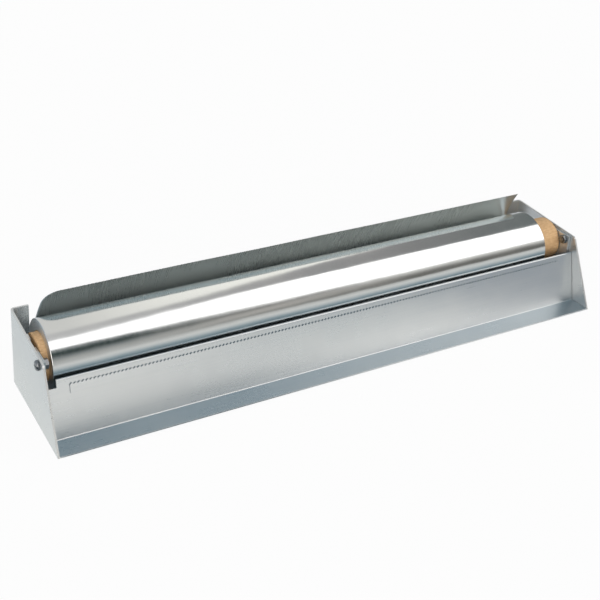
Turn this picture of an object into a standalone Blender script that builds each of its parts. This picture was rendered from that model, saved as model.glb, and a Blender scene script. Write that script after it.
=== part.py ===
"""Counter foil dispenser: a folded sheet-steel tray that carries a roll of aluminium foil.

Lengths are in metres, +Z is up, -Y is the front and the origin is the centre of the footprint.
Heights of the steelwork are counted from its own underside, which the rubber feet lift off the counter.
"""
import math

import bmesh
import bpy
from mathutils import Vector

MM = 0.001

# Clearances
fit_gap = 0.3 * MM
cut_overrun = 2.0 * MM
same_point_gap = 0.001 * MM

# Foil roll, which the steelwork is sized around
foil_width = 452.0 * MM
foil_build = 9.5 * MM
foil_edge = 0.5 * MM
core_outer_radius = 18.5 * MM
core_wall = 1.8 * MM
core_end_gap = 0.6 * MM
plug_length = 18.0 * MM
plug_bore_chamfer = 0.8 * MM

# Room round the roll: to the cradles, the panel's top edge, the rear faces and the floor
roll_gap_left = 5.2 * MM
roll_gap_right = 25.2 * MM
roll_gap_front = 3.7 * MM
roll_gap_rear = 15.5 * MM
roll_gap_below = 13.5 * MM

# Loose end of the foil, standing up behind the roll
tail_thickness = 0.4 * MM
tail_height = 41.0 * MM
tail_curl_radius = 76.0 * MM
tail_left_slant = 8.0 * MM
tail_corner_width = 10.0 * MM
tail_corner_height = 11.0 * MM
tail_left_inset = 2.0 * MM
tail_wrap_angle = math.radians(24)

# Side plates; their rear height is counted from the axle's middle
plate_thickness = 1.5 * MM
plate_rise = 18.5 * MM
plate_edge_above_screw = 5.1 * MM
plate_edge_before_screw = 9.5 * MM
plate_corner_radius = 2.5 * MM
flange_width = 14.0 * MM
flange_bend_radius = 2.2 * MM
foot_flange_panel_gap = 5.4 * MM
foot_flange_end_gap = 3.0 * MM

# Front lip, panel and hem, one bent sheet
panel_thickness = 1.0 * MM
panel_foot = 18.6 * MM
panel_height = 43.0 * MM
panel_lean = 10.2 * MM
panel_bend_radius = 1.6 * MM
hem_gap = 0.3 * MM
hem_depth = 5.0 * MM
notch_width = 7.5 * MM
notch_depth = 5.5 * MM

# Tear strip, spot-welded to the panel's face
strip_thickness = 0.8 * MM
strip_drop = 3.9 * MM
strip_height = 7.5 * MM
strip_end_inset = 18.6 * MM
tooth_pitch = 3.0 * MM
tooth_depth = 1.2 * MM

# Floor tray behind the panel
tray_thickness = 1.2 * MM
tray_bend_radius = 2.0 * MM
tray_front_lip = 12.0 * MM
tray_rear_height = 31.0 * MM

# Axle
axle_radius = 4.0 * MM
axle_end_gap = 0.8 * MM
axle_chamfer = 0.6 * MM

# Cradles for the axle; their heights and rear edges are counted from its middle
cradle_thickness = 2.0 * MM
cradle_bend_radius = 2.4 * MM
cradle_panel_gap = 3.7 * MM
cradle_reach_rear = 26.5 * MM
cradle_reach_top = 12.5 * MM
cradle_rise = 13.1 * MM
cradle_shoulder_drop = 4.5 * MM
cradle_foot_width = 13.0 * MM
slot_mouth_flare = 2.0 * MM
slot_mouth_depth = 3.0 * MM

# Screws and nuts in the cradles' upper front corners
screw_edge_front = 5.0 * MM
screw_edge_top = 4.3 * MM
screw_radius = 2.0 * MM
screw_head_radius = 3.9 * MM
screw_head_height = 2.0 * MM
screw_head_edge = 0.9 * MM
screw_slot_width = 1.0 * MM
screw_slot_depth = 1.0 * MM
screw_tip = 0.6 * MM
nut_across_flats = 7.0 * MM
nut_height = 2.6 * MM

# Rivets through the plates' bottom flanges, the floor and the cradles' feet
rivet_radius = 1.5 * MM
rivet_head_radius = 2.8 * MM
rivet_head_height = 0.8 * MM
rivet_dome_share = 0.6
rivet_inset_x = 8.5 * MM
rivet_edge_front = 12.5 * MM
rivet_edge_rear = 10.0 * MM

# Rubber feet under the same flanges
foot_height = 1.2 * MM
foot_radius = 5.0 * MM
foot_edge = 0.4 * MM
foot_inset_x = 8.0 * MM
foot_inset_front = 7.0 * MM
foot_inset_rear = 12.0 * MM

# Facets
round_steps = 48
roll_steps = 72
small_steps = 16
nut_sides = 6
bend_steps = 6
tail_rows = 16
tail_columns = 12

# Setbacks from the front edge, and heights above the steelwork's underside
foil_outer_radius = core_outer_radius + foil_build
panel_setback_top = panel_foot + panel_lean
axle_setback = panel_setback_top + roll_gap_front + foil_outer_radius
axle_height = plate_thickness + fit_gap + tray_thickness + roll_gap_below + foil_outer_radius
cradle_front = panel_setback_top + cradle_panel_gap
cradle_rear = axle_setback + cradle_reach_rear
cradle_top_height = axle_height + cradle_rise
screw_setback = cradle_front + screw_edge_front
screw_height = cradle_top_height - screw_edge_top
plate_rear_height = axle_height + plate_rise
plate_front_height = screw_height + plate_edge_above_screw
plate_front_setback = screw_setback - plate_edge_before_screw
foot_flange_start = panel_foot + foot_flange_panel_gap

# Overall steelwork
side_thickness = plate_thickness + fit_gap + cradle_thickness
body_length = side_thickness + roll_gap_left + foil_width + roll_gap_right + side_thickness
body_depth = axle_setback + foil_outer_radius + roll_gap_rear

# Places worked out from the sizes above
steel_base = foot_height + fit_gap
outer_x = body_length / 2
inner_x = outer_x - plate_thickness
front_y = -body_depth / 2
rear_y = body_depth / 2
floor_bottom = steel_base + plate_thickness + fit_gap
floor_top = floor_bottom + tray_thickness
axle_y = front_y + axle_setback
axle_z = steel_base + axle_height
axle_half_length = inner_x - axle_end_gap
cradle_outer_x = inner_x - fit_gap
cradle_inner_x = cradle_outer_x - cradle_thickness
cradle_low = floor_top + fit_gap
core_half_length = cradle_inner_x - core_end_gap
core_inner_radius = core_outer_radius - core_wall
foil_left_x = -cradle_inner_x + roll_gap_left
foil_right_x = foil_left_x + foil_width
tray_rear_face = rear_y - plate_thickness - fit_gap
tray_half_length = inner_x - flange_bend_radius
tear_half_length = outer_x - strip_end_inset
rivet_x = outer_x - rivet_inset_x
rivet_places = (("front", front_y + cradle_front + rivet_edge_front),
                ("rear", front_y + cradle_rear - rivet_edge_rear))
foot_places = (("front", front_y + foot_flange_start + foot_inset_front),
               ("rear", rear_y - foot_inset_rear))
screw_place = Vector((0, front_y + screw_setback, steel_base + screw_height))

# The panel's own directions in the YZ plane: along its face, and square to it towards the rear
panel_run = Vector((panel_lean, panel_height))
panel_up = panel_run.normalized()
panel_back = Vector((panel_up.y, -panel_up.x))


def clear_scene():
    for item in list(bpy.data.objects):
        bpy.data.objects.remove(item, do_unlink=True)


def make_material(name, colour, roughness, metallic):
    material = bpy.data.materials.new(name)
    material.use_nodes = True
    shader = material.node_tree.nodes["Principled BSDF"]
    shader.inputs["Base Color"].default_value = (*colour, 1.0)
    shader.inputs["Roughness"].default_value = roughness
    shader.inputs["Metallic"].default_value = metallic
    return material


def add_object(name, mesh_builder, material, smooth=False):
    """Makes one named object from a bmesh, with its faces pointing out."""
    bmesh.ops.recalc_face_normals(mesh_builder, faces=mesh_builder.faces)
    mesh = bpy.data.meshes.new(name)
    mesh_builder.to_mesh(mesh)
    mesh_builder.free()
    if smooth:
        mesh.shade_smooth()
        mesh.set_sharp_from_angle(angle=math.radians(35))
    item = bpy.data.objects.new(name, mesh)
    bpy.context.scene.collection.objects.link(item)
    mesh.materials.append(material)
    return item


def prism(outline, place, start, end):
    """Extrudes a closed 2-D outline; place(a, b, w) gives the point for outline point (a, b) at depth w."""
    builder = bmesh.new()
    near = [builder.verts.new(place(a, b, start)) for a, b in outline]
    far = [builder.verts.new(place(a, b, end)) for a, b in outline]
    count = len(outline)
    for index in range(count):
        following = (index + 1) % count
        builder.faces.new((near[index], near[following], far[following], far[index]))
    builder.faces.new(near)
    builder.faces.new(far)
    return builder


def along_x(a, b, w):
    return (w, a, b)


def along_y(a, b, w):
    return (a, w, b)


def along_z(a, b, w):
    return (a, b, w)


def rounded_path(corners, radii):
    """Points of an open polyline with rounded inner corners; arcs that meet share one point."""
    points = [Vector(corners[0])]
    for index in range(1, len(corners) - 1):
        before, corner, after = (Vector(corners[index + shift]) for shift in (-1, 0, 1))
        arrive = (corner - before).normalized()
        leave = (after - corner).normalized()
        turn = arrive.x * leave.y - arrive.y * leave.x
        angle = math.atan2(turn, arrive.dot(leave))
        radius = radii[index - 1]
        reach = radius * math.tan(abs(angle) / 2)
        side = math.copysign(1, angle)
        centre = corner - arrive * reach + Vector((-arrive.y, arrive.x)) * side * radius
        spoke = (corner - arrive * reach) - centre
        for step in range(bend_steps + 1):
            swing = angle * step / bend_steps
            points.append(centre + Vector((
                spoke.x * math.cos(swing) - spoke.y * math.sin(swing),
                spoke.x * math.sin(swing) + spoke.y * math.cos(swing))))
    points.append(Vector(corners[-1]))
    return [points[0]] + [point for before, point in zip(points, points[1:])
                          if (point - before).length > same_point_gap]


def sheet_outline(corners, radii, thickness):
    """Closed outline of a bent sheet whose middle line runs through the corners."""
    path = rounded_path(corners, radii)
    left, right = [], []
    for index, point in enumerate(path):
        before = path[max(index - 1, 0)]
        after = path[min(index + 1, len(path) - 1)]
        arrive = (point - before).normalized() if index else (after - point).normalized()
        leave = (after - point).normalized() if index < len(path) - 1 else arrive
        across = Vector((-(arrive.y + leave.y), arrive.x + leave.x)).normalized()
        offset = thickness / 2 / across.dot(Vector((-arrive.y, arrive.x)))
        left.append(tuple(point + across * offset))
        right.append(tuple(point - across * offset))
    return left + right[::-1]


def turned(profile, centre, axis, steps):
    """Solid of revolution from a closed profile of (distance along the axis, radius) points."""
    builder = bmesh.new()
    along = Vector(axis)
    across = along.orthogonal().normalized()
    third = along.cross(across)
    rings = []
    for distance, radius in profile:
        if radius == 0:
            rings.append([builder.verts.new(Vector(centre) + along * distance)])
            continue
        ring = []
        for step in range(steps):
            angle = 2 * math.pi * step / steps
            spoke = across * math.cos(angle) + third * math.sin(angle)
            ring.append(builder.verts.new(Vector(centre) + along * distance + spoke * radius))
        rings.append(ring)
    closed = profile[0][1] > 0
    pairs = list(zip(rings, rings[1:] + rings[:1])) if closed else list(zip(rings, rings[1:]))
    for first, second in pairs:
        for step in range(steps):
            following = (step + 1) % steps
            if len(first) == 1:
                builder.faces.new((first[0], second[step], second[following]))
            elif len(second) == 1:
                builder.faces.new((first[step], second[0], first[following]))
            else:
                builder.faces.new((first[step], second[step], second[following], first[following]))
    return builder


def cutter(name, builder):
    """A helper solid for booleans, kept out of the model."""
    item = add_object(name, builder, steel)
    item.hide_render = True
    item.display_type = "WIRE"
    return item


def boolean(item, tool, operation):
    modifier = item.modifiers.new(tool.name, "BOOLEAN")
    modifier.operation = operation
    modifier.solver = "EXACT"
    modifier.object = tool


def cylinder_tool(name, centre, axis, radius, half_length, steps=small_steps):
    profile = [(-half_length, 0), (-half_length, radius), (half_length, radius), (half_length, 0)]
    return cutter(name, turned(profile, centre, axis, steps))


def panel_point(along, back):
    """Point of the panel's middle line, from its foot: along its face and square to it towards the rear."""
    foot = Vector((front_y + panel_foot, steel_base + panel_thickness / 2))
    return foot + panel_up * along + panel_back * back


def make_side_plate(side, label):
    """Side plate with a rear flange, and a bottom flange that carries the floor tray."""
    middle_x = side * (outer_x - plate_thickness / 2)
    flange_x = side * (outer_x - flange_width)
    rear_middle = rear_y - plate_thickness / 2
    plan = sheet_outline(
        [(middle_x, front_y), (middle_x, rear_middle), (flange_x, rear_middle)],
        [flange_bend_radius], plate_thickness)
    plate = add_object(label + "_side_plate",
                       prism(plan, along_z, steel_base, steel_base + plate_rear_height), steel)

    front_top = (front_y + plate_front_setback, steel_base + plate_front_height)
    rear_top = (rear_y, steel_base + plate_rear_height)
    below = steel_base - cut_overrun
    outline = rounded_path(
        [(front_y, steel_base), front_top, rear_top], [plate_corner_radius])
    outline = [tuple(point) for point in outline]
    slope = Vector(front_top) - Vector((front_y, steel_base))
    start = Vector((front_y, steel_base)) - slope * (cut_overrun / slope.y)
    behind = rear_y + cut_overrun
    rise = (rear_top[1] - front_top[1]) / (rear_top[0] - front_top[0])
    outline = [tuple(start)] + outline[1:-1]
    outline += [(behind, rear_top[1] + rise * cut_overrun), (behind, below)]
    keep_from = side * (outer_x + cut_overrun)
    keep_to = side * (outer_x - flange_width - cut_overrun)
    keep = cutter(label + "_plate_shape", prism(outline, along_x, keep_from, keep_to))
    boolean(plate, keep, "INTERSECT")

    bottom_middle = steel_base + plate_thickness / 2
    ledge_top = steel_base + plate_thickness + flange_bend_radius
    ledge = sheet_outline(
        [(flange_x, bottom_middle), (middle_x, bottom_middle), (middle_x, ledge_top)],
        [flange_bend_radius], plate_thickness)
    ledge_tool = cutter(label + "_ledge", prism(
        ledge, along_y, front_y + foot_flange_start, rear_y - plate_thickness - foot_flange_end_gap))
    boolean(plate, ledge_tool, "UNION")

    for end, y in rivet_places:
        hole = cylinder_tool(f"{label}_{end}_ledge_hole", (side * rivet_x, y, steel_base), (0, 0, 1),
                             rivet_radius + fit_gap, plate_thickness + cut_overrun)
        boolean(plate, hole, "DIFFERENCE")
    screw_hole = cylinder_tool(label + "_screw_hole", screw_place + Vector((side * outer_x, 0, 0)), (1, 0, 0),
                               screw_radius + fit_gap, plate_thickness + cut_overrun)
    boolean(plate, screw_hole, "DIFFERENCE")
    return plate


def make_front_panel():
    """Lip, bend, leaning panel and folded hem in one sheet, with its upper left corner notched."""
    fold = panel_thickness + hem_gap
    length = panel_run.length
    corners = [(front_y, steel_base + panel_thickness / 2), panel_point(0, 0), panel_point(length, 0),
               panel_point(length, fold), panel_point(length - hem_depth, fold)]
    outline = sheet_outline(corners, [panel_bend_radius, fold / 2, fold / 2], panel_thickness)
    half = inner_x - fit_gap
    panel = add_object("front_panel", prism(outline, along_x, -half, half), steel)
    low, high = length - notch_depth, length + cut_overrun
    near, far = -cut_overrun, fold + cut_overrun
    notch = [panel_point(low, near), panel_point(low, far), panel_point(high, far), panel_point(high, near)]
    notch_tool = cutter("panel_notch", prism(notch, along_x, -half - cut_overrun, notch_width - half))
    boolean(panel, notch_tool, "DIFFERENCE")
    return panel


def make_tear_strip():
    """Flat strip on the panel's face, with a row of teeth along its upper edge."""
    teeth = round(2 * tear_half_length / tooth_pitch)
    pitch = 2 * tear_half_length / teeth
    top = panel_run.length - strip_drop
    valley = top - tooth_depth
    outline = [(-tear_half_length, top - strip_height), (tear_half_length, top - strip_height)]
    for number in range(teeth, 0, -1):
        outline.append((-tear_half_length + pitch * number, valley))
        outline.append((-tear_half_length + pitch * (number - 1 / 2), top))
    outline.append((-tear_half_length, valley))
    near = -(panel_thickness / 2 + fit_gap)

    def on_panel(a, b, w):
        y, z = panel_point(b, w)
        return (a, y, z)

    return add_object("tear_strip", prism(outline, on_panel, near, near - strip_thickness), bright_steel)


def make_floor_tray():
    """Floor with a short upturn behind the front panel and a taller one inside the rear flanges."""
    clear = panel_thickness / 2 + fit_gap + tray_thickness / 2
    floor_middle = floor_bottom + tray_thickness / 2
    toe = panel_point(0, clear)
    slide = (floor_middle - toe.y) / panel_up.y
    front_bend = toe + panel_up * slide
    front_top = front_bend + panel_up * tray_front_lip
    rear_middle = tray_rear_face - tray_thickness / 2
    outline = sheet_outline(
        [front_top, front_bend, (rear_middle, floor_middle), (rear_middle, steel_base + tray_rear_height)],
        [tray_bend_radius, tray_bend_radius], tray_thickness)
    tray = add_object("floor_tray", prism(outline, along_x, -tray_half_length, tray_half_length), steel)
    for side, label in sides:
        for end, y in rivet_places:
            hole = cylinder_tool(f"{label}_{end}_floor_hole", (side * rivet_x, y, floor_bottom), (0, 0, 1),
                                 rivet_radius + fit_gap, tray_thickness + cut_overrun)
            boolean(tray, hole, "DIFFERENCE")
    return tray


def make_tray_rivets():
    """Two-headed rivets; each clamps a plate's bottom flange, the floor and a cradle's foot."""
    low = steel_base - fit_gap
    high = cradle_low + cradle_thickness + fit_gap
    crown = rivet_head_radius * rivet_dome_share
    profile = [(low - rivet_head_height, 0), (low - rivet_head_height, crown), (low, rivet_head_radius),
               (low, rivet_radius), (high, rivet_radius), (high, rivet_head_radius),
               (high + rivet_head_height, crown), (high + rivet_head_height, 0)]
    for side, label in sides:
        for end, y in rivet_places:
            rivet = turned(profile, (side * rivet_x, y, 0), (0, 0, 1), small_steps)
            add_object(f"{label}_{end}_tray_rivet", rivet, bright_steel, smooth=True)


def make_cradle(side, label):
    """Bracket on the plate's inner face, with an open slot for the axle and a foot on the floor."""
    middle_x = side * (cradle_outer_x - cradle_thickness / 2)
    foot_x = side * (cradle_outer_x - cradle_foot_width)
    section = sheet_outline(
        [(middle_x, steel_base + cradle_top_height), (middle_x, cradle_low + cradle_thickness / 2),
         (foot_x, cradle_low + cradle_thickness / 2)], [cradle_bend_radius], cradle_thickness)
    cradle = add_object(label + "_cradle",
                        prism(section, along_y, front_y + cradle_front, front_y + cradle_rear), steel)

    top = steel_base + cradle_top_height
    shoulder = axle_z - cradle_shoulder_drop
    rear = front_y + cradle_rear
    top_rear = axle_y + cradle_reach_top
    waste = [(rear + cut_overrun, shoulder), (rear, shoulder), (top_rear, top),
             (top_rear, top + cut_overrun), (rear + cut_overrun, top + cut_overrun)]
    cut_from = side * (cradle_outer_x + cut_overrun)
    cut_to = side * (cradle_outer_x - cradle_foot_width - cut_overrun)
    corner = cutter(label + "_cradle_corner", prism(waste, along_x, cut_from, cut_to))
    boolean(cradle, corner, "DIFFERENCE")

    reach = axle_radius + fit_gap
    slot = []
    for step in range(round_steps // 2 + 1):
        angle = math.pi + math.pi * step / (round_steps // 2)
        slot.append((axle_y + reach * math.cos(angle), axle_z + reach * math.sin(angle)))
    mouth = reach + slot_mouth_flare
    slot += [(axle_y + reach, top - slot_mouth_depth), (axle_y + mouth, top),
             (axle_y + mouth, top + cut_overrun), (axle_y - mouth, top + cut_overrun),
             (axle_y - mouth, top), (axle_y - reach, top - slot_mouth_depth)]
    slot_tool = cutter(label + "_cradle_slot", prism(slot, along_x, cut_from, cut_to))
    boolean(cradle, slot_tool, "DIFFERENCE")
    screw_hole = cylinder_tool(
        label + "_cradle_screw_hole", screw_place + Vector((side * cradle_outer_x, 0, 0)), (1, 0, 0),
        screw_radius + fit_gap, cradle_thickness + cut_overrun)
    boolean(cradle, screw_hole, "DIFFERENCE")
    for end, y in rivet_places:
        hole = cylinder_tool(f"{label}_{end}_cradle_hole", (side * rivet_x, y, cradle_low), (0, 0, 1),
                             rivet_radius + fit_gap, cradle_thickness + cut_overrun)
        boolean(cradle, hole, "DIFFERENCE")
    return cradle


def make_cradle_screw(side, label):
    """Slotted pan-head screw from outside, through the plate and the cradle, with a nut inside."""
    outward = (side, 0, 0)
    seat = outer_x + fit_gap
    nut_seat = cradle_inner_x - fit_gap
    tip = nut_seat - nut_height - screw_tip
    head_top = seat + screw_head_height
    crown = screw_head_radius - screw_head_edge
    profile = [(tip, 0), (tip, screw_radius), (seat, screw_radius), (seat, screw_head_radius),
               (head_top - screw_head_edge, screw_head_radius), (head_top, crown), (head_top, 0)]
    screw = add_object(label + "_cradle_screw", turned(profile, screw_place, outward, round_steps // 2),
                       bright_steel, smooth=True)
    half = screw_slot_width / 2
    wide = screw_head_radius + cut_overrun
    y, z = screw_place.yz
    groove = [(y - wide, z - half), (y + wide, z - half), (y + wide, z + half), (y - wide, z + half)]
    groove_tool = cutter(label + "_screw_groove", prism(
        groove, along_x, side * (head_top - screw_slot_depth), side * (head_top + cut_overrun)))
    boolean(screw, groove_tool, "DIFFERENCE")

    corner_radius = nut_across_flats / 2 / math.cos(math.pi / nut_sides)
    bore = screw_radius + fit_gap
    nut_profile = [(nut_seat - nut_height, 0), (nut_seat - nut_height, corner_radius),
                   (nut_seat, corner_radius), (nut_seat, 0)]
    nut = add_object(label + "_cradle_nut",
                     turned(nut_profile, screw_place, outward, nut_sides), bright_steel)
    bore_tool = cylinder_tool(label + "_nut_bore", screw_place + Vector((side * nut_seat, 0, 0)),
                              (1, 0, 0), bore, nut_height + cut_overrun)
    boolean(nut, bore_tool, "DIFFERENCE")


def make_axle():
    half = axle_half_length
    profile = [(-half, 0), (-half, axle_radius - axle_chamfer), (-half + axle_chamfer, axle_radius),
               (half - axle_chamfer, axle_radius), (half, axle_radius - axle_chamfer), (half, 0)]
    return add_object("axle_rod", turned(profile, (0, axle_y, axle_z), (1, 0, 0), round_steps // 2),
                      bright_steel, smooth=True)


def make_core_plug(side, label):
    """Bush that fills the end of the core and turns on the axle."""
    outside = core_inner_radius - fit_gap
    bore = axle_radius + fit_gap
    inner = core_half_length - plug_length
    profile = [(inner, bore), (inner, outside), (core_half_length, outside),
               (core_half_length, bore + plug_bore_chamfer), (core_half_length - plug_bore_chamfer, bore)]
    return add_object(label + "_core_plug",
                      turned(profile, (0, axle_y, axle_z), (side, 0, 0), round_steps), nylon, smooth=True)


def make_core():
    half = core_half_length
    profile = [(-half, core_inner_radius), (-half, core_outer_radius),
               (half, core_outer_radius), (half, core_inner_radius)]
    return add_object("foil_core", turned(profile, (0, axle_y, axle_z), (1, 0, 0), round_steps),
                      cardboard, smooth=True)


def make_winding():
    bore = core_outer_radius + fit_gap
    outside = foil_outer_radius
    profile = [(foil_left_x, bore), (foil_left_x, outside - foil_edge), (foil_left_x + foil_edge, outside),
               (foil_right_x - foil_edge, outside), (foil_right_x, outside - foil_edge), (foil_right_x, bore)]
    return add_object("foil_winding", turned(profile, (0, axle_y, axle_z), (1, 0, 0), roll_steps),
                      foil, smooth=True)


def tail_middle(share):
    """Point of the tail's middle line and its outward direction: 0 is on the roll, 1 is the free edge."""
    hug = foil_outer_radius + fit_gap + tail_thickness / 2
    wrap_length = hug * tail_wrap_angle
    lean = math.asin(tail_height / tail_curl_radius)
    free_length = tail_curl_radius * lean
    distance = share * (wrap_length + free_length) - wrap_length
    if distance < 0:
        angle = distance / hug
        out = Vector((math.cos(angle), math.sin(angle)))
        return Vector((axle_y, axle_z)) + out * hug, out
    angle = distance / tail_curl_radius
    out = Vector((math.cos(angle), math.sin(angle)))
    centre = Vector((axle_y + hug - tail_curl_radius, axle_z))
    return centre + out * tail_curl_radius, out


def tail_left_edge(height):
    """The torn left edge slants inwards and ends in a rounded corner at the free edge."""
    share = max(height, 0) / tail_height
    edge = foil_left_x + tail_left_inset + tail_left_slant * share
    rounding = max(height - (tail_height - tail_corner_height), 0) / tail_corner_height
    return edge + tail_corner_width * (1 - math.sqrt(max(1 - rounding * rounding, 0)))


def make_tail():
    """Loose end of the foil: it hugs the roll, leaves it at the rear and curls forwards as it rises."""
    builder = bmesh.new()
    sheets = []
    for face in (-1, 1):
        grid = []
        for row in range(tail_rows + 1):
            middle, out = tail_middle(math.sin(math.pi / 2 * row / tail_rows))
            point = middle + out * face * tail_thickness / 2
            left = tail_left_edge(middle.y - axle_z)
            grid.append([builder.verts.new((left + (foil_right_x - left) * column / tail_columns,
                                            point.x, point.y)) for column in range(tail_columns + 1)])
        sheets.append(grid)
    inner, outer = sheets
    rows, columns = tail_rows, tail_columns
    for row in range(rows):
        for column in range(columns):
            for grid in sheets:
                builder.faces.new((grid[row][column], grid[row][column + 1],
                                   grid[row + 1][column + 1], grid[row + 1][column]))
    for column in range(columns):
        for row in (0, rows):
            builder.faces.new((inner[row][column], inner[row][column + 1],
                               outer[row][column + 1], outer[row][column]))
    for row in range(rows):
        for column in (0, columns):
            builder.faces.new((inner[row][column], inner[row + 1][column],
                               outer[row + 1][column], outer[row][column]))
    return add_object("foil_tail", builder, foil, smooth=True)


def make_feet():
    for side, label in sides:
        x = side * (outer_x - foot_inset_x)
        for end, y in foot_places:
            profile = [(0, 0), (0, foot_radius - foot_edge), (foot_edge, foot_radius),
                       (foot_height, foot_radius), (foot_height, 0)]
            add_object(f"{label}_{end}_foot", turned(profile, (x, y, 0), (0, 0, 1), round_steps // 2),
                       rubber, smooth=True)


clear_scene()
steel = make_material("satin_steel", (0.62, 0.65, 0.68), 0.32, 1.0)
bright_steel = make_material("bright_steel", (0.72, 0.72, 0.71), 0.22, 1.0)
foil = make_material("foil", (0.86, 0.87, 0.87), 0.12, 1.0)
cardboard = make_material("cardboard", (0.72, 0.50, 0.28), 0.85, 0.0)
nylon = make_material("tan_nylon", (0.66, 0.43, 0.23), 0.55, 0.0)
rubber = make_material("rubber", (0.05, 0.05, 0.05), 0.9, 0.0)
sides = ((-1, "left"), (1, "right"))

for side, label in sides:
    make_side_plate(side, label)
    make_cradle(side, label)
    make_cradle_screw(side, label)
    make_core_plug(side, label)
make_front_panel()
make_tear_strip()
make_floor_tray()
make_tray_rivets()
make_axle()
make_core()
make_winding()
make_tail()
make_feet()
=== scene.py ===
"""Looks of the counter foil dispenser: softened sheet steel, a wound foil roll and its crinkled loose end.

Lengths are in metres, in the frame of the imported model: +Z up, the front lip towards -Y, the roll along X.
"""
import math

import bmesh
import bpy
from mathutils import Matrix, Vector, noise


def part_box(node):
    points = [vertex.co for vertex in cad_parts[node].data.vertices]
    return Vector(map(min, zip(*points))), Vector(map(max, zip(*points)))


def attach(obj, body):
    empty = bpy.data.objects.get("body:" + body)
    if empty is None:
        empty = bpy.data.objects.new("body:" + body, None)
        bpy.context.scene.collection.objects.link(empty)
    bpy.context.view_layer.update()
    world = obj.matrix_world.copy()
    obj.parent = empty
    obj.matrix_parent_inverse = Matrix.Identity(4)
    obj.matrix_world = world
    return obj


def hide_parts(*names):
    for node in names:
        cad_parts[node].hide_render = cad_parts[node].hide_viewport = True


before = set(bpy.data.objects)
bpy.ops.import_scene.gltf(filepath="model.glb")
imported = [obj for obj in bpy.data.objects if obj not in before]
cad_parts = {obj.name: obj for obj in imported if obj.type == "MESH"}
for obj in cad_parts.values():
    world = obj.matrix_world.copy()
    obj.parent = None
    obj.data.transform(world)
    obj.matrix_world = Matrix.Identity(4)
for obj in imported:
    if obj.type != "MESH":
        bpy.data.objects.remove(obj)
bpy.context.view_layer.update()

MM = 0.001

# Softened edges of the metal pieces
bend_angles = (math.radians(8), math.radians(32))
sharp_angle = math.radians(35)
flat_angle = math.radians(0.4)
same_point_gap = 0.001 * MM
bend_rounding_percent = 28
rounding_segments = 2
sheet_edge_rounding = 0.16 * MM
small_edge_rounding = 0.22 * MM
tooth_edge_rounding = 0.08 * MM
face_area_weight = 100

# Foil roll
winding_gap = 0.3 * MM
bright_foil = {"low_tone": (0.875, 0.88, 0.875), "high_tone": (0.915, 0.915, 0.905),
               "smoothest": 0.10, "roughest": 0.16, "metallic": 1.0, "dent_depth": 0.03 * MM}
roll_columns = 260
roll_steps = 180
roll_slack = 0.32 * MM
roll_edge_width = 0.25 * MM
roll_wave_height = 0.16 * MM
roll_wave_length = 70 * MM
roll_wave_turns = 2.2
roll_crease_height = 0.03 * MM
roll_crease_length = 14 * MM
roll_crease_turns = 9.0
roll_crease_shift = 7.0
end_rings = 42
end_ripple_height = 0.22 * MM
end_ripple_scale = 900.0
layer_pitch = 0.9 * MM

# Loose end of the foil
matt_foil = {"low_tone": (0.72, 0.74, 0.72), "high_tone": (0.78, 0.80, 0.775),
             "smoothest": 0.25, "roughest": 0.31, "metallic": 0.9, "dent_depth": 0.006 * MM}
sheet_thickness = 0.1 * MM
tail_columns = 320
tail_rows = 56
tail_wave_height = 0.3 * MM
tail_wave_length = 85 * MM
tail_wave_rise = 0.9
tail_wave_seed = 3.0
tail_crinkle_height = 0.03 * MM
tail_crinkle_length = 11 * MM
tail_crinkle_seed = 9.0
tail_crinkle_from = 1 / 3
torn_tooth_pitch = 3.0 * MM
torn_tooth_depth = 0.7 * MM
torn_from_share = 0.9
tail_curl_radius = 76.0 * MM
tail_left_slant = 8.0 * MM
tail_corner_width = 10.0 * MM
tail_corner_height = 11.0 * MM
tail_wrap_angle = math.radians(24)

# Cardboard core
core_steps = 120
core_fine_length = 34 * MM
core_fine_columns = 34
core_slack = 0.06 * MM
core_end_slack = 0.2 * MM
core_wall = 1.8 * MM
seam_pitch = 62 * MM
seam_width_share = 0.03
seam_depth = 0.12 * MM
fray_height = 0.03 * MM
fray_scale = 400
fray_turns = 40
ply_rings = 7
ply_ripple = 0.12 * MM
ply_noise_step = 3.7
ply_noise_turns = 9

# Materials: spans of a noise's value, which keeps near a half, and tones in linear red, green and blue
noise_middle = (0.35, 0.65)
noise_wide = (0.3, 0.7)
steel_grain_scales = (6.0, 900.0)
steel_cloud_tones = ((0.735, 0.75, 0.76), (0.79, 0.80, 0.80))
steel_grain_tone = (0.84, 0.84, 0.83)
plated_tones = ((0.36, 0.37, 0.38), (0.27, 0.28, 0.29))
rod_tones = ((0.70, 0.70, 0.70), (0.58, 0.585, 0.59))
foil_edge_tones = ((0.70, 0.71, 0.71), (0.84, 0.84, 0.83))
card_fibre_tones = ((0.56, 0.33, 0.155), (0.80, 0.55, 0.31))
card_stain_tone = (0.62, 0.38, 0.19)
card_speck_tone = (0.30, 0.17, 0.08)
nylon_tones = ((0.60, 0.36, 0.17), (0.72, 0.47, 0.25))
rubber_tones = ((0.02, 0.02, 0.02), (0.085, 0.08, 0.075))
floor_paint = (0.88, 0.88, 0.88)
white = (1.0, 1.0, 1.0)

# Camera, fitted to the photographed outline of the two plates and the front sheet
photo_size = 600
camera_place = Vector((-434.35, -641.85, 485.12)) * MM
camera_azimuth = math.radians(29.515)
camera_elevation = math.radians(-22.784)
camera_roll = math.radians(2.82)
camera_clip = (0.05, 40.0)
focal_pixels = 1089.7
centre_pixel = (256.63, 160.66)

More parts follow.
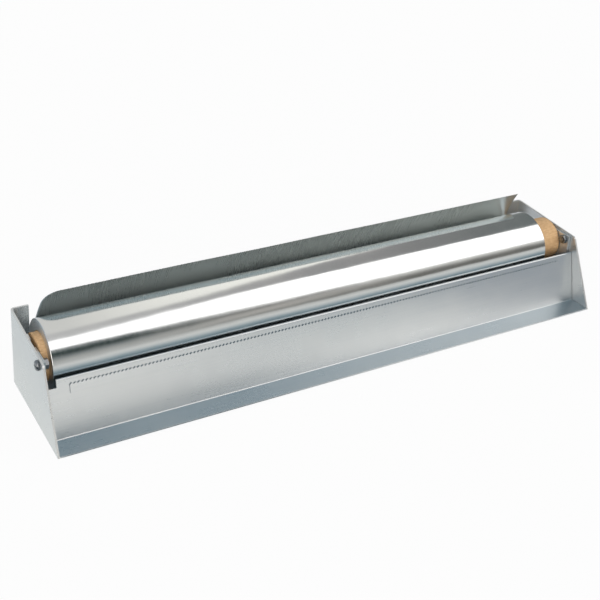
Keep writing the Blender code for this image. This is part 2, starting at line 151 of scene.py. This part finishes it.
# Floor: how much of its white the camera gets, and the painted shade and light that the front sheet mirrors in it, by
# Y, from left to right
floor_radius = 9.0
floor_segments = 96
floor_roughness = 0.9
floor_white_share = 0.94
# Painted shade on the floor under and close to the object, as metal sees it
under_object_painted_shade = [(0.04, (0.05, 0.07, 0.08)), (0.10, (0.55, 0.58, 0.60))]
front_left_painted_tones = [(-1.2, (0.80, 0.82, 0.82)), (-0.20, (0.84, 0.85, 0.83)), (-0.12, (0.80, 0.81, 0.80)),
                    (-0.07, (0.25, 0.29, 0.31))] + under_object_painted_shade
# A painted bright band close to the object in the middle
front_middle_painted_tones = [(-1.2, (0.74, 0.76, 0.76)), (-0.20, (0.70, 0.73, 0.72)), (-0.13, (0.76, 0.79, 0.78)),
                      (-0.08, (1.05, 1.05, 1.03))] + under_object_painted_shade
front_right_painted_tones = [(-1.2, (0.36, 0.41, 0.46)), (-0.22, (0.40, 0.44, 0.48)), (-0.15, (0.18, 0.22, 0.27)),
                     (-0.08, (0.60, 0.63, 0.65))] + under_object_painted_shade
floor_middle_span = (-0.13, 0.10)
floor_right_span = (0.12, 0.30)

# Painted shade and light that the left plate mirrors in the floor, by X, to the left of this edge
floor_left_edge = (-0.246, -0.235)
left_plate_painted_tones = [(-1.0, (0.26, 0.31, 0.40)), (-0.45, (0.34, 0.40, 0.48)), (-0.30, (0.62, 0.67, 0.69)),
                    (-0.25, (0.76, 0.79, 0.78))]

# Painted shade and light that the roll mirrors in the floor, by the slope of the line that runs there over the front
# sheet's top
over_sheet_place = -10.0 * MM
over_sheet_span = (48.5 * MM, 50.5 * MM)
least_run = 0.01
roll_painted_tones = [(0.0, (0.50, 0.51, 0.50)), (0.13, (0.62, 0.63, 0.62)), (0.25, (0.48, 0.52, 0.53)),
                    (0.38, (0.26, 0.33, 0.36)), (0.52, (0.15, 0.21, 0.24)), (0.9, (0.15, 0.20, 0.22))]

# Studio: X shares are of the line of sight, heights are degrees over the front horizon, and the edges of the
# softbox and the wall run from (X share, X share) to (height, height)
box_foot_span = (0.27, 0.55, 43.0, 27.0)
box_top_span = (0.27, 0.42, 70.0, 88.0)
wall_edge_left_span = (0.27, 0.37, 93.0, 101.0)
wall_edge_right_span = (0.37, 0.66, 0.0, 77.0)
box_softness = 2.0
wall_softness = 6.0

# Room under the softbox, by height, in three parts by X share
room_middle_span = (0.32, 0.42)
room_right_span = (0.46, 0.56)
room_left_tones = [(-6, (0.46, 0.48, 0.48)), (4, (0.43, 0.44, 0.43)), (10, (0.35, 0.36, 0.35)),
                   (15, (0.25, 0.27, 0.27)), (21, (0.11, 0.13, 0.13)), (27, (0.02, 0.035, 0.035)),
                   (32, (0.04, 0.06, 0.06)), (38, (0.20, 0.22, 0.22))]
room_middle_tones = [(-6, (0.60, 0.62, 0.62)), (0, (0.50, 0.51, 0.50)), (5, (0.22, 0.22, 0.21)),
                     (11, (0.42, 0.41, 0.39)), (18, (0.38, 0.37, 0.35)), (24, (0.18, 0.18, 0.17)),
                     (30, (0.50, 0.50, 0.49))]
room_right_tones = [(-6, (0.56, 0.58, 0.58)), (0, (0.20, 0.20, 0.19)), (5, (0.12, 0.12, 0.11)),
                    (12, (0.18, 0.18, 0.17)), (17, (0.36, 0.36, 0.34)), (22, (0.58, 0.58, 0.56)),
                    (28, (0.90, 0.90, 0.88))]

# Softbox, ceiling and rear wall, by X share
box_strength = 1.4
box_tones = [(0.0, 0.8), (0.27, 0.9), (0.45, 1.0), (1.0, 1.0)]
ceiling_tones = [(0.0, 0.55), (0.27, 0.52), (0.43, 0.36), (0.55, 0.25), (0.65, (0.13, 0.15, 0.15))]
wall_tones = [(-0.3, (0.42, 0.48, 0.54)), (0.0, (0.50, 0.54, 0.56)), (0.27, (0.62, 0.62, 0.60)),
              (0.37, (0.90, 0.90, 0.85)), (0.52, (0.96, 0.95, 0.90)), (0.58, (0.70, 0.70, 0.67)),
              (0.64, (0.22, 0.24, 0.24)), (0.70, (0.12, 0.14, 0.14))]

# Studio as light sees it after its second bounce off metal: tones by X share, low and high in the room
second_bounce_span = (1.2, 1.8)
twice_low_tones = [(0.27, (0.12, 0.17, 0.20)), (0.36, (0.26, 0.30, 0.33)), (0.45, (0.85, 0.87, 0.87)),
                   (0.54, (1.4, 1.4, 1.38)), (0.66, (1.1, 1.1, 1.1))]
twice_high_tones = [(0.27, (0.22, 0.31, 0.37)), (0.43, (0.38, 0.49, 0.55)), (0.52, (0.60, 0.67, 0.71)),
                    (0.61, (0.85, 0.93, 0.98)), (0.70, (0.85, 0.93, 0.98))]
twice_span = (32.0, 42.0)

# Fill light at the front left
fill_side_span = (-0.05, 0.22)
fill_height_span = (30.0, 55.0)
fill_tone = (2.2, 2.1, 1.95)


def make_camera():
    """Camera at the photograph's viewing angle; the shift frames the object as the photograph does."""
    data = bpy.data.cameras.new("photo_camera")
    data.sensor_fit = "HORIZONTAL"
    data.lens = focal_pixels / photo_size * data.sensor_width
    data.shift_x = (photo_size / 2 - centre_pixel[0]) / photo_size
    data.shift_y = (centre_pixel[1] - photo_size / 2) / photo_size
    data.clip_start, data.clip_end = camera_clip
    camera = bpy.data.objects.new("photo_camera", data)
    bpy.context.scene.collection.objects.link(camera)
    turn = Matrix.Rotation(-camera_azimuth, 4, "Z")
    tilt = Matrix.Rotation(math.pi / 2 + camera_elevation, 4, "X")
    bank = Matrix.Rotation(camera_roll, 4, "Z")
    camera.matrix_world = Matrix.Translation(camera_place) @ turn @ tilt @ bank
    bpy.context.scene.camera = camera


def as_colour(tone):
    """A socket stays as it is; a grey or a (red, green, blue) gets its missing values."""
    if isinstance(tone, bpy.types.NodeSocket):
        return tone
    return (*tone, 1.0) if isinstance(tone, tuple) else (tone, tone, tone, 1.0)


class Nodes:
    """Short calls for the nodes of one tree."""

    def __init__(self, tree):
        self.tree = tree

    def node(self, kind, inputs=None, **settings):
        made = self.tree.nodes.new(kind)
        for key, value in settings.items():
            setattr(made, key, value)
        for key, value in (inputs or {}).items():
            self.put(made.inputs[key], value)
        return made

    def put(self, socket, value):
        if isinstance(value, bpy.types.NodeSocket):
            self.tree.links.new(value, socket)
        else:
            socket.default_value = value

    def spread(self, value, low, high, start=0.0, end=1.0, smooth=False):
        """Goes from start to end while the value goes from low to high."""
        made = self.node("ShaderNodeMapRange", {
            "Value": value, "From Min": low, "From Max": high, "To Min": start, "To Max": end},
            interpolation_type="SMOOTHSTEP" if smooth else "LINEAR")
        return made.outputs["Result"]

    def blend(self, factor, first, second):
        """Mix of two tones. The node keeps sockets for every kind of value; 0, 6, 7 and result 2 are the colours'."""
        made = self.node("ShaderNodeMix", data_type="RGBA")
        for index, value in ((0, factor), (6, as_colour(first)), (7, as_colour(second))):
            self.put(made.inputs[index], value)
        return made.outputs[2]

    def math(self, operation, first, second):
        made = self.node("ShaderNodeMath", operation=operation)
        self.put(made.inputs[0], first)
        self.put(made.inputs[1], second)
        return made.outputs["Value"]

    def ramp(self, value, stops):
        """Tones along a value; each stop is (value, grey) or (value, (red, green, blue))."""
        low, high = stops[0][0], stops[-1][0]
        made = self.node("ShaderNodeValToRGB", {"Fac": self.spread(value, low, high)})
        elements = made.color_ramp.elements
        while len(elements) < len(stops):
            elements.new(0.5)
        for element, (place, tone) in zip(elements, stops):
            element.position = (place - low) / (high - low)
            element.color = as_colour(tone)
        return made.outputs["Color"]


class Shader(Nodes):
    """A material's node tree."""

    def __init__(self, name):
        self.material = bpy.data.materials.new(name)
        self.material.use_nodes = True
        super().__init__(self.material.node_tree)
        self.surface = self.tree.nodes["Principled BSDF"]
        self.output = self.tree.nodes["Material Output"]

    def coordinates(self, scale=(1, 1, 1)):
        source = self.node("ShaderNodeTexCoord")
        mapping = self.node("ShaderNodeMapping", {"Vector": source.outputs["Object"], "Scale": scale})
        return mapping.outputs["Vector"]

    def noise(self, scale=1.0, detail=2.0, stretch=(1, 1, 1), roughness=0.5, distortion=0.0):
        made = self.node("ShaderNodeTexNoise", {
            "Vector": self.coordinates(stretch), "Scale": scale, "Detail": detail,
            "Roughness": roughness, "Distortion": distortion})
        return made.outputs["Fac"]

    def tint(self, factor, span, first, second, share=1.0):
        """Goes from the first tone to a share of the second while a factor crosses a span."""
        return self.blend(self.spread(factor, *span, end=share), first, second)

    def vary(self, factor, span, least, most):
        """Goes from least to most while a factor crosses a span."""
        return self.spread(factor, *span, least, most)

    def bump(self, height, distance, strength, normal=None):
        made = self.node("ShaderNodeBump", {"Height": height, "Distance": distance, "Strength": strength})
        if normal is not None:
            self.put(made.inputs["Normal"], normal)
        return made.outputs["Normal"]

    def finish(self, tone, roughness, metallic=0.0, normal=None):
        self.put(self.surface.inputs["Base Color"], as_colour(tone))
        self.put(self.surface.inputs["Roughness"], roughness)
        self.put(self.surface.inputs["Metallic"], metallic)
        if normal is not None:
            self.put(self.surface.inputs["Normal"], normal)
        return self.material


def sheet_steel(name, grain_axis, metallic):
    """Satin rolled steel: fine grain along one axis, cloudy sheen and a few rubbed spots."""
    shader = Shader(name)
    along, across = steel_grain_scales
    stretch = tuple(along if axis == grain_axis else across for axis in range(3))
    grain = shader.noise(detail=3.0, stretch=stretch, roughness=0.6)
    clouds = shader.noise(scale=14.0, detail=4.0, roughness=0.55, distortion=0.4)
    smudges = shader.noise(scale=60.0, detail=3.0, roughness=0.6, distortion=0.8)
    tone = shader.tint(clouds, (0.35, 0.68), *steel_cloud_tones)
    tone = shader.tint(grain, (0.35, 0.7), tone, steel_grain_tone, share=0.35)
    rough = shader.vary(clouds, noise_wide, 0.25, 0.31)
    rough = shader.math("ADD", rough, shader.vary(smudges, (0.45, 0.72), 0.0, 0.05))
    rough = shader.math("ADD", rough, shader.vary(grain, noise_wide, -0.02, 0.03))
    return shader.finish(tone, rough, metallic, shader.bump(grain, distance=0.003 * MM, strength=0.3))


def plated_steel():
    """Small plated parts: duller and darker, with a fine crystalline mottle."""
    shader = Shader("plated_steel")
    mottle = shader.node("ShaderNodeTexVoronoi", {"Vector": shader.coordinates(), "Scale": 1400.0})
    clouds = shader.noise(scale=220.0, detail=3.0)
    tone = shader.tint(mottle.outputs["Distance"], (0.1, 0.6), *plated_tones)
    rough = shader.vary(clouds, noise_wide, 0.30, 0.42)
    return shader.finish(tone, rough, 1.0, shader.bump(clouds, distance=0.03 * MM, strength=0.3))


def rod_steel():
    """Drawn rod with lathe rings and light scuffs."""
    shader = Shader("rod_steel")
    rings = shader.noise(stretch=(3200.0, 40.0, 40.0))
    scuffs = shader.noise(scale=180.0, detail=4.0, stretch=(0.3, 1, 1), roughness=0.6, distortion=0.6)
    tone = shader.tint(scuffs, (0.4, 0.7), *rod_tones)
    rough = shader.vary(scuffs, noise_wide, 0.2, 0.36)
    return shader.finish(tone, rough, 1.0, shader.bump(rings, distance=0.01 * MM, strength=0.4))


def rolled_foil(name, low_tone, high_tone, smoothest, roughest, metallic, dent_depth):
    """Rolled aluminium foil with faint rolling lines and small dents."""
    shader = Shader(name)
    rolling = shader.noise(stretch=(1500.0, 30.0, 30.0))
    dents = shader.noise(scale=170.0, detail=4.0, stretch=(0.5, 1, 1), roughness=0.62, distortion=0.5)
    clouds = shader.noise(scale=18.0, detail=3.0)
    tone = shader.tint(clouds, noise_middle, low_tone, high_tone)
    rough = shader.vary(clouds, noise_wide, smoothest, roughest)
    rough = shader.math("ADD", rough, shader.vary(rolling, noise_middle, -0.01, 0.02))
    normal = shader.bump(dents, distance=dent_depth, strength=0.6)
    normal = shader.bump(rolling, distance=0.004 * MM, strength=0.4, normal=normal)
    return shader.finish(tone, rough, metallic, normal)


def foil_edges():
    """Ends of the winding, where hundreds of foil edges make fine rings."""
    shader = Shader("foil_edges")
    grains = shader.noise(scale=900.0, detail=3.0)
    tone = shader.tint(grains, noise_middle, *foil_edge_tones)
    rough = shader.vary(grains, noise_wide, 0.3, 0.46)
    return shader.finish(tone, rough, 1.0, shader.bump(grains, distance=0.05 * MM, strength=0.5))


def cardboard():
    """Kraft paper of the core: fibres, stains and dark specks."""
    shader = Shader("cardboard")
    fibres = shader.noise(detail=5.0, stretch=(260.0, 900.0, 900.0), roughness=0.65, distortion=0.3)
    stains = shader.noise(scale=70.0, detail=4.0)
    specks = shader.noise(scale=1600.0)
    tone = shader.tint(fibres, noise_wide, *card_fibre_tones)
    tone = shader.tint(stains, (0.42, 0.66), tone, card_stain_tone, share=0.45)
    tone = shader.tint(specks, (0.66, 0.74), tone, card_speck_tone, share=0.5)
    rough = shader.vary(fibres, noise_wide, 0.72, 0.92)
    return shader.finish(tone, rough, normal=shader.bump(fibres, distance=0.08 * MM, strength=0.6))


def moulded_nylon():
    """Tan moulded plugs with a fine matt texture."""
    shader = Shader("moulded_nylon")
    texture = shader.noise(scale=1500.0)
    clouds = shader.noise(scale=120.0, detail=3.0)
    tone = shader.tint(clouds, noise_middle, *nylon_tones)
    rough = shader.vary(clouds, noise_wide, 0.46, 0.60)
    return shader.finish(tone, rough, normal=shader.bump(texture, distance=0.03 * MM, strength=0.5))


def foot_rubber():
    """Black rubber with a pebbled skin and dust."""
    shader = Shader("foot_rubber")
    texture = shader.noise(scale=2200.0, detail=3.0)
    dust = shader.noise(scale=240.0, detail=3.0)
    tone = shader.tint(dust, (0.5, 0.72), *rubber_tones)
    rough = shader.vary(texture, noise_wide, 0.72, 0.88)
    return shader.finish(tone, rough, normal=shader.bump(texture, distance=0.05 * MM, strength=0.6))


def new_piece(name, builder, material, body, nodes):
    """Links a bmesh as a named piece that rides on a body and stands for CAD nodes."""
    bmesh.ops.recalc_face_normals(builder, faces=builder.faces)
    mesh = bpy.data.meshes.new(name)
    builder.to_mesh(mesh)
    builder.free()
    mesh.shade_smooth()
    piece = bpy.data.objects.new(name, mesh)
    bpy.context.scene.collection.objects.link(piece)
    mesh.materials.append(material)
    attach(piece, body)
    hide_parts(*nodes)
    return piece


def edges_between(builder, low, high):
    """Edges whose two faces meet at an angle between low and high."""
    return [edge for edge in builder.edges
            if len(edge.link_faces) == 2 and low < edge.calc_face_angle(0.0) < high]


def round_off(builder, edges, offset, offset_type):
    bmesh.ops.bevel(builder, geom=edges, offset=offset, offset_type=offset_type,
                    segments=rounding_segments, profile=0.5, affect="EDGES", clamp_overlap=True)


def softened(node, material, body, rounding):
    """A CAD piece with rounder bends and its sharp edges broken, as rolled and deburred metal has them."""
    builder = bmesh.new()
    builder.from_mesh(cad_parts[node].data)
    bmesh.ops.remove_doubles(builder, verts=builder.verts, dist=same_point_gap)
    bmesh.ops.dissolve_limit(builder, angle_limit=flat_angle, verts=builder.verts, edges=builder.edges)
    bends = edges_between(builder, *bend_angles)
    if bends:
        round_off(builder, bends, bend_rounding_percent, "PERCENT")
    round_off(builder, edges_between(builder, sharp_angle, math.pi), rounding, "OFFSET")
    piece = new_piece(node + "_detail", builder, material, body, [node])
    weighted = piece.modifiers.new("flat_faces", "WEIGHTED_NORMAL")
    weighted.mode = "FACE_AREA"
    weighted.weight = face_area_weight
    weighted.keep_sharp = False


def quad_grid(builder, rows, closed=False, material_index=0):
    """Faces between neighbouring points of a grid of vertices, whose rows may be closed to rings."""
    for first, second in zip(rows, rows[1:]):
        count = len(first)
        for index in range(count if closed else count - 1):
            following = (index + 1) % count
            face = builder.faces.new((first[index], first[following], second[following], second[index]))
            face.material_index = material_index


class Round:
    """A round CAD node along X: its ends, its middle and its radius."""

    def __init__(self, node):
        low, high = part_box(node)
        self.left, self.right = low.x, high.x
        self.y, self.z = (low.y + high.y) / 2, (low.z + high.z) / 2
        self.radius = (high.z - low.z) / 2

    def place(self, x, radius, share):
        """Point at a radius and a share of the turn round the node's middle."""
        angle = 2 * math.pi * share
        return (x, self.y + radius * math.cos(angle), self.z + radius * math.sin(angle))

    def tube(self, builder, stations, steps, skin, rings, rim, end_material=0):
        """Tube with rings at its ends that close it in to its bore.

        skin gives the outer radius at an X and a share of the turn. rim gives a ring's radius and how deep it lies
        in the end, from its number, the end's direction and a share of the turn.
        """
        shares = [step / steps for step in range(steps)]
        rows = [[builder.verts.new(self.place(x, skin(x, share), share)) for share in shares] for x in stations]
        quad_grid(builder, rows, closed=True)
        ends = []
        for row, x, outward in ((rows[0], stations[0], -1), (rows[-1], stations[-1], 1)):
            for ring in range(1, rings + 1):
                inner_row = []
                for share in shares:
                    radius, depth = rim(ring, outward, share)
                    inner_row.append(builder.verts.new(self.place(x - outward * depth, radius, share)))
                quad_grid(builder, [row, inner_row], closed=True, material_index=end_material)
                row = inner_row
            ends.append(row)
        quad_grid(builder, ends, closed=True)


def stretched_noise(x, angle_share, length, turns):
    """Noise that runs smoothly round the roll: its position goes round a circle in noise space."""
    turn = 2 * math.pi * angle_share
    spot = Vector((x / length, math.cos(turn) * turns / 2, math.sin(turn) * turns / 2))
    return noise.noise(spot)


def make_roll():
    """Outer layer with soft waves and creases, and ends where the layers lie slightly uneven."""
    roll = Round("foil_winding")
    bore = Round("foil_core").radius + winding_gap

    def skin(x, share):
        wave = stretched_noise(x, share, roll_wave_length, roll_wave_turns) * roll_wave_height
        crease = stretched_noise(x + roll_crease_shift, share, roll_crease_length, roll_crease_turns)
        edge = roll_edge_width if x in (roll.left, roll.right) else 0.0
        return roll.radius - roll_slack + wave + crease * roll_crease_height - edge

    def rim(ring, outward, share):
        share_in = ring / end_rings
        radius = (roll.radius - roll_slack - roll_edge_width) * (1 - share_in) + bore * share_in
        coil = radius - layer_pitch * share
        ripple = noise.noise(Vector((coil * end_ripple_scale, outward, 0.0))) * end_ripple_height
        return radius, roll_edge_width - ripple

    edge_steps = (0.0, roll_edge_width, 2 * roll_edge_width)
    stations = [roll.left + step for step in edge_steps]
    stations += [roll.left + (roll.right - roll.left) * column / roll_columns for column in range(1, roll_columns)]
    stations += [roll.right - step for step in reversed(edge_steps)]
    builder = bmesh.new()
    roll.tube(builder, stations, roll_steps, skin, end_rings, rim, end_material=1)
    material = rolled_foil("bright_foil", **bright_foil)
    piece = new_piece("foil_roll", builder, material, "roll", ["foil_winding"])
    piece.data.materials.append(foil_edges())


def make_tail():
    """Loose end of the foil, curling forwards, with soft folds, crinkles and a torn toothed edge."""
    low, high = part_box("foil_tail")
    roll = Round("foil_winding")
    hug = roll.radius + winding_gap + sheet_thickness / 2
    height = high.z - roll.z
    free_length = tail_curl_radius * math.asin(height / tail_curl_radius)
    wrap_length = hug * tail_wrap_angle

    def middle(distance):
        """Point (Y, Z) of the sheet at a distance from where it leaves the roll, and its outward direction."""
        if distance < 0:
            out = Vector((math.cos(distance / hug), math.sin(distance / hug)))
            return Vector((roll.y, roll.z)) + out * hug, out
        angle = distance / tail_curl_radius
        out = Vector((math.cos(angle), math.sin(angle)))
        return Vector((roll.y + hug - tail_curl_radius, roll.z)) + out * tail_curl_radius, out

    def left_edge(rise):
        """X of the sheet's slanting left edge, with its rounded corner, at a height over the axle."""
        share = min(max(rise, 0) / height, 1)
        rounding = min(max(rise - (height - tail_corner_height), 0) / tail_corner_height, 1)
        return low.x + tail_left_slant * share + tail_corner_width * (1 - math.sqrt(1 - rounding * rounding))

    builder = bmesh.new()
    rows = []
    for row in range(tail_rows + 1):
        share = math.sin(math.pi / 2 * row / tail_rows)
        torn = max(share - torn_from_share, 0) / (1 - torn_from_share)
        start = share * (wrap_length + free_length) - wrap_length
        left = left_edge(middle(start)[0].y - roll.z)
        cells = []
        for column in range(tail_columns + 1):
            x = left + (high.x - left) * (column / tail_columns)
            tooth = abs((x / torn_tooth_pitch) % 1 - 1 / 2) * 2
            distance = start - torn_tooth_depth * tooth * torn
            point, out = middle(distance)
            loose = min(max(distance, 0) / free_length, 1)
            wave = noise.noise(Vector((x / tail_wave_length, loose * tail_wave_rise, tail_wave_seed)))
            crinkle = noise.noise(Vector((
                x / tail_crinkle_length, distance / (2 * tail_crinkle_length), tail_crinkle_seed)))
            point += out * (wave * tail_wave_height * loose
                            + crinkle * tail_crinkle_height * min(loose / tail_crinkle_from, 1))
            cells.append(builder.verts.new((x, point.x, point.y)))
        rows.append(cells)
    quad_grid(builder, rows)
    material = rolled_foil("matt_foil", **matt_foil)
    piece = new_piece("foil_loose_end", builder, material, "axle", ["foil_tail"])
    solidify = piece.modifiers.new("sheet", "SOLIDIFY")
    solidify.thickness = sheet_thickness
    solidify.offset = 0


def make_core():
    """Spiral-wound cardboard tube with a seam, cut edges and plies at its ends."""
    core = Round("foil_core")

    def skin(x, share):
        along = (x / seam_pitch - share) % 1
        groove = seam_depth if along < seam_width_share else 0.0
        ply = seam_depth / 2 * along
        fray = noise.noise(Vector((x * fray_scale, share * fray_turns, 0))) * fray_height
        return core.radius - core_slack - groove - ply + fray

    def rim(ring, outward, share):
        share_in = ring / ply_rings
        radius = (core.radius - core_end_slack) * (1 - share_in) + (core.radius - core_wall) * share_in
        ripple = noise.noise(Vector((ring * ply_noise_step, share * ply_noise_turns, outward)))
        return radius, abs(ripple) * ply_ripple

    fine = [core_fine_length * index / core_fine_columns for index in range(core_fine_columns + 1)]
    stations = [core.left + step for step in fine] + [core.right - step for step in reversed(fine)]
    builder = bmesh.new()
    core.tube(builder, stations, core_steps, skin, ply_rings, rim)
    new_piece("cardboard_core", builder, cardboard(), "roll", ["foil_core"])


def front_sheet_painted_tones(shader, across, deep):
    """Painted shade and light that the front sheet mirrors in the floor, by Y, in three parts by X."""
    tone = shader.blend(shader.spread(across, *floor_middle_span, smooth=True),
                        shader.ramp(deep, front_left_painted_tones), shader.ramp(deep, front_middle_painted_tones))
    return shader.blend(shader.spread(across, *floor_right_span, smooth=True),
                        tone, shader.ramp(deep, front_right_painted_tones))


def painted_tones_in_roll(shader, deep, tone):
    """Puts the roll's painted shade and light where the mirrored line comes from behind and over the front sheet's
    top.
    """
    geometry = shader.node("ShaderNodeNewGeometry")
    back = shader.node("ShaderNodeSeparateXYZ", {"Vector": geometry.outputs["Incoming"]}).outputs
    slope = shader.math("DIVIDE", back["Z"], shader.math("MAXIMUM", back["Y"], least_run))
    crossing = shader.math("MULTIPLY", shader.math("SUBTRACT", over_sheet_place, deep), slope)
    crossing = shader.math("MULTIPLY", crossing, shader.math("GREATER_THAN", back["Y"], 0.0))
    return shader.blend(shader.spread(crossing, *over_sheet_span), tone, shader.ramp(slope, roll_painted_tones))


def make_floor():
    """White sweep with the object's soft shadow; for metal it glows in painted tones by place, with painted shade
    close to the object.
    """
    builder = bmesh.new()
    bmesh.ops.create_circle(builder, cap_ends=True, radius=floor_radius, segments=floor_segments)
    mesh = bpy.data.meshes.new("floor")
    builder.to_mesh(mesh)
    builder.free()
    floor = bpy.data.objects.new("floor", mesh)
    bpy.context.scene.collection.objects.link(floor)

    shader = Shader("white_floor")
    shader.finish(floor_paint, floor_roughness)
    place = shader.node("ShaderNodeTexCoord").outputs["Object"]
    parts = shader.node("ShaderNodeSeparateXYZ", {"Vector": place})
    across, deep = parts.outputs["X"], parts.outputs["Y"]
    # Painted shade and light that metal sees in the floor, by place
    painted_mirror_tone = shader.blend(shader.spread(across, *floor_left_edge, 1.0, 0.0, smooth=True),
                            front_sheet_painted_tones(shader, across, deep), shader.ramp(across, left_plate_painted_tones))
    painted_mirror_tone = painted_tones_in_roll(shader, deep, painted_mirror_tone)

    path = shader.node("ShaderNodeLightPath").outputs
    mirror = shader.math("MAXIMUM", path["Is Glossy Ray"], path["Is Transmission Ray"])
    # Metal sees the floor glow in these painted tones; the camera sees mostly white
    glow = shader.node("ShaderNodeEmission", {"Color": shader.blend(mirror, white, painted_mirror_tone), "Strength": 1.0})
    seen = shader.math("MULTIPLY", path["Is Camera Ray"], floor_white_share)
    mixed = shader.node("ShaderNodeMixShader", {
        0: shader.math("MAXIMUM", mirror, seen), 1: shader.surface.outputs["BSDF"], 2: glow.outputs["Emission"]})
    shader.put(shader.output.inputs["Surface"], mixed.outputs["Shader"])
    mesh.materials.append(shader.material)


def make_studio():
    """Studio round the object, with tones by height over the front horizon (degrees) and by X share.

    A long softbox hangs over the front; under it the room is dark, above it grey, and the wall behind is pale.
    """
    world = bpy.data.worlds.new("studio")
    bpy.context.scene.world = world
    world.use_nodes = True
    nodes = Nodes(world.node_tree)
    direction = nodes.node("ShaderNodeTexCoord").outputs["Generated"]
    parts = nodes.node("ShaderNodeSeparateXYZ", {"Vector": direction})
    side = parts.outputs["X"]
    forward = nodes.math("MULTIPLY", parts.outputs["Y"], -1.0)
    height = nodes.math("MULTIPLY", nodes.math("ARCTAN2", parts.outputs["Z"], forward), math.degrees(1))

    def above(edge, softness):
        return nodes.spread(nodes.math("SUBTRACT", height, edge), -softness, softness, smooth=True)

    room = nodes.blend(nodes.spread(side, *room_middle_span, smooth=True),
                       nodes.ramp(height, room_left_tones), nodes.ramp(height, room_middle_tones))
    room = nodes.blend(nodes.spread(side, *room_right_span, smooth=True),
                       room, nodes.ramp(height, room_right_tones))
    box = nodes.node("ShaderNodeVectorMath", {0: nodes.ramp(side, box_tones), "Scale": box_strength},
                     operation="SCALE").outputs[0]
    wall_edge = nodes.math("ADD", nodes.spread(side, *wall_edge_left_span),
                           nodes.spread(side, *wall_edge_right_span))
    tone = nodes.blend(above(nodes.spread(side, *box_foot_span), box_softness), room, box)
    tone = nodes.blend(above(nodes.spread(side, *box_top_span), box_softness),
                       tone, nodes.ramp(side, ceiling_tones))
    tone = nodes.blend(above(wall_edge, wall_softness), tone, nodes.ramp(side, wall_tones))
    fill = nodes.math("MULTIPLY", nodes.spread(side, *fill_side_span, 1.0, 0.0, smooth=True),
                      nodes.spread(height, *fill_height_span, 1.0, 0.0, smooth=True))
    tone = nodes.blend(fill, tone, fill_tone)

    path = nodes.node("ShaderNodeLightPath").outputs
    twice = nodes.blend(nodes.spread(height, *twice_span),
                        nodes.ramp(side, twice_low_tones), nodes.ramp(side, twice_high_tones))
    tone = nodes.blend(nodes.spread(path["Glossy Depth"], *second_bounce_span), tone, twice)
    nodes.put(world.node_tree.nodes["Background"].inputs["Color"],
              nodes.blend(path["Is Camera Ray"], tone, white))


make_camera()
make_floor()
make_studio()

long_steel = sheet_steel("sheet_steel_long", 0, 1.0)
side_steel = sheet_steel("sheet_steel_side", 1, 0.82)
plated = plated_steel()
nylon = moulded_nylon()
rubber = foot_rubber()
for side in ("left", "right"):
    softened(side + "_side_plate", side_steel, "frame", sheet_edge_rounding)
    softened(side + "_cradle", side_steel, "frame", sheet_edge_rounding)
    softened(side + "_cradle_screw", plated, "frame", small_edge_rounding)
    softened(side + "_cradle_nut", plated, "frame", small_edge_rounding)
    softened(side + "_core_plug", nylon, "roll", small_edge_rounding)
    for end in ("front", "rear"):
        softened(f"{side}_{end}_tray_rivet", plated, "frame", small_edge_rounding)
        softened(f"{side}_{end}_foot", rubber, "frame", small_edge_rounding)
softened("front_panel", long_steel, "frame", sheet_edge_rounding)
softened("floor_tray", long_steel, "frame", sheet_edge_rounding)
softened("tear_strip", long_steel, "frame", tooth_edge_rounding)
softened("axle_rod", rod_steel(), "axle", small_edge_rounding)
make_roll()
make_tail()
make_core()

bpy.context.scene.view_settings.view_transform = "Standard"
